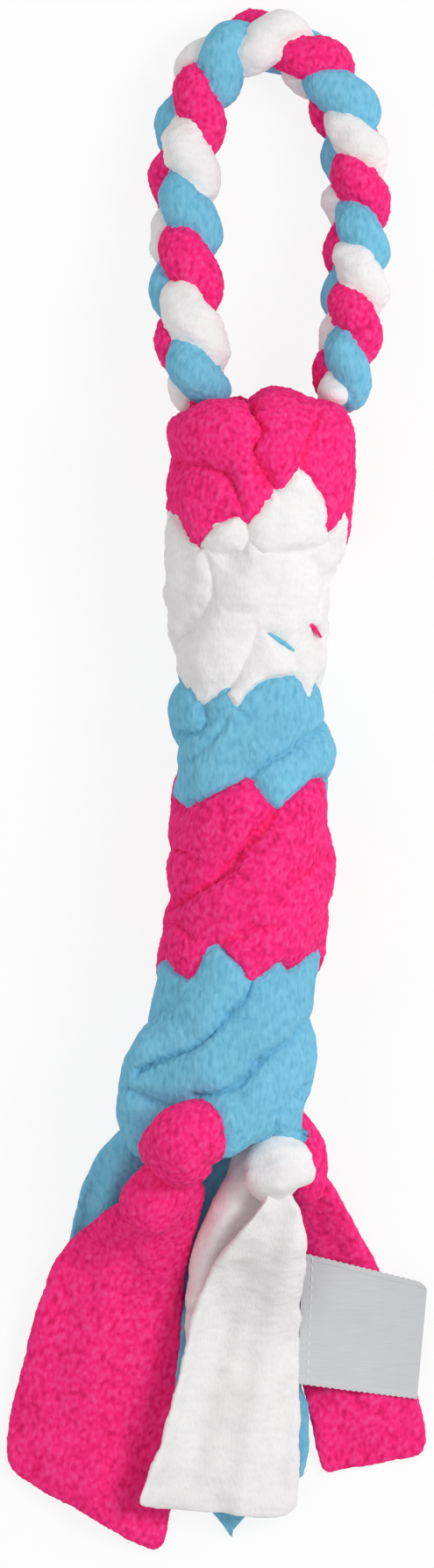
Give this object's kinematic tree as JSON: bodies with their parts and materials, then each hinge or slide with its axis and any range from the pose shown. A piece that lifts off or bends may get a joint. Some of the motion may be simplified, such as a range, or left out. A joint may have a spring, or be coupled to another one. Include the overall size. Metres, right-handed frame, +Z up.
{
  "type": "dog tug toy",
  "caption": "Long fleece tug toy: a plaited hand loop, a thick knotted body in colour bands, loose fleece tails and a small sewn label.",
  "frame": {"origin": "centre of the toy's outline on the floor it lies on", "axes": "+Y runs from the tails to the hand loop, +X to the right seen from above, +Z up from the floor"},
  "size_m": [0.1219, 0.4444, 0.0524],
  "materials": {
    "pink_fleece": "matte brushed fleece, short crinkled nap",
    "white_fleece": "matte brushed fleece, smooth soft wrinkles",
    "blue_fleece": "matte brushed fleece, fine streaky nap",
    "label_satin": "soft satin weave"
  },
  "bodies": {
    "knotted_body": {"blue_band_back_1": "blue_fleece", "blue_band_back_2": "blue_fleece", "blue_band_back_3": "blue_fleece", "blue_band_turn_1": "blue_fleece", "blue_band_turn_2": "blue_fleece", "blue_band_turn_3": "blue_fleece", "blue_band_turn_4": "blue_fleece", "blue_core_left": "blue_fleece", "blue_core_right": "blue_fleece", "blue_foot_back_1": "blue_fleece", "blue_foot_back_2": "blue_fleece", "blue_foot_turn_1": "blue_fleece", "blue_foot_turn_2": "blue_fleece", "blue_foot_turn_3": "blue_fleece", "blue_foot_turn_4": "blue_fleece", "blue_foot_turn_5": "blue_fleece", "blue_foot_turn_6": "blue_fleece", "blue_knuckle": "blue_fleece", "pink_band_back_1": "pink_fleece", "pink_band_back_2": "pink_fleece", "pink_band_back_3": "pink_fleece", "pink_band_turn_1": "pink_fleece", "pink_band_turn_2": "pink_fleece", "pink_band_turn_3": "pink_fleece", "pink_band_turn_4": "pink_fleece", "pink_band_turn_5": "pink_fleece", "pink_band_turn_6": "pink_fleece", "pink_collar_back_1": "pink_fleece", "pink_collar_back_2": "pink_fleece", "pink_collar_turn_1": "pink_fleece", "pink_collar_turn_2": "pink_fleece", "pink_collar_turn_3": "pink_fleece", "pink_collar_turn_4": "pink_fleece", "pink_collar_turn_5": "pink_fleece", "pink_core_left": "pink_fleece", "pink_core_right": "pink_fleece", "pink_knuckle": "pink_fleece", "white_band_back_1": "white_fleece", "white_band_back_2": "white_fleece", "white_band_back_3": "white_fleece", "white_band_turn_1": "white_fleece", "white_band_turn_2": "white_fleece", "white_band_turn_3": "white_fleece", "white_band_turn_4": "white_fleece", "white_band_turn_5": "white_fleece", "white_band_turn_6": "white_fleece", "white_band_turn_7": "white_fleece", "white_core_left": "white_fleece", "white_core_right": "white_fleece", "white_knuckle": "white_fleece"},
    "hand_loop": {"loop_strand_blue": "blue_fleece", "loop_strand_white": "white_fleece", "loop_strand_pink": "pink_fleece"},
    "white_upper": {"white_tail_upper": "white_fleece"},
    "white_lower": {"white_tail_lower": "white_fleece"},
    "blue_middle": {"blue_tail_middle": "blue_fleece"},
    "pink_left": {"pink_tail_left": "pink_fleece"},
    "pink_right": {"pink_tail_right": "pink_fleece"},
    "blue_left": {"blue_tail_left": "blue_fleece"},
    "label": {"label": "label_satin"}
  },
  "joints": [
    {"name": "loop_fold", "type": "hinge", "parent": "knotted_body", "child": "hand_loop", "pos_m": [0.0154, 0.1169, 0.0233], "axis": [1, 0, 0], "range_deg": [-60, 70]},
    {"name": "white_upper_lift", "type": "hinge", "parent": "knotted_body", "child": "white_upper", "pos_m": [0.01799, -0.12157, 0.03024], "axis": [-1, 0, 0], "range_deg": [0, 70]},
    {"name": "white_lower_lift", "type": "hinge", "parent": "knotted_body", "child": "white_lower", "pos_m": [0.00836, -0.11314, 0.01848], "axis": [-1, 0, 0], "range_deg": [0, 35]},
    {"name": "blue_middle_lift", "type": "hinge", "parent": "knotted_body", "child": "blue_middle", "pos_m": [0.00427, -0.11036, 0.00728], "axis": [-1, 0, 0], "range_deg": [0, 14]},
    {"name": "pink_left_swing", "type": "hinge", "parent": "knotted_body", "child": "pink_left", "pos_m": [-0.01037, -0.11487, 0.02016], "axis": [0, 0, -1], "range_deg": [0, 15]},
    {"name": "blue_left_swing", "type": "hinge", "parent": "knotted_body", "child": "blue_left", "pos_m": [-0.02361, -0.09708, 0.014], "axis": [0, 0, -1], "range_deg": [0, 12]},
    {"name": "pink_right_swing", "type": "hinge", "parent": "knotted_body", "child": "pink_right", "pos_m": [0.02653, -0.10136, 0.01288], "axis": [0, 0, 1], "range_deg": [0, 25]},
    {"name": "label_flap", "type": "hinge", "parent": "white_upper", "child": "label", "pos_m": [0.02635, -0.13497, 0.006], "axis": [-0.039, -0.9992, 0], "range_deg": [0, 90]}
  ],
  "couplings": [
    {"joint": "white_lower_lift", "follows": "white_upper_lift", "ratio": 0.5},
    {"joint": "blue_middle_lift", "follows": "white_upper_lift", "ratio": 0.2}
  ]
}
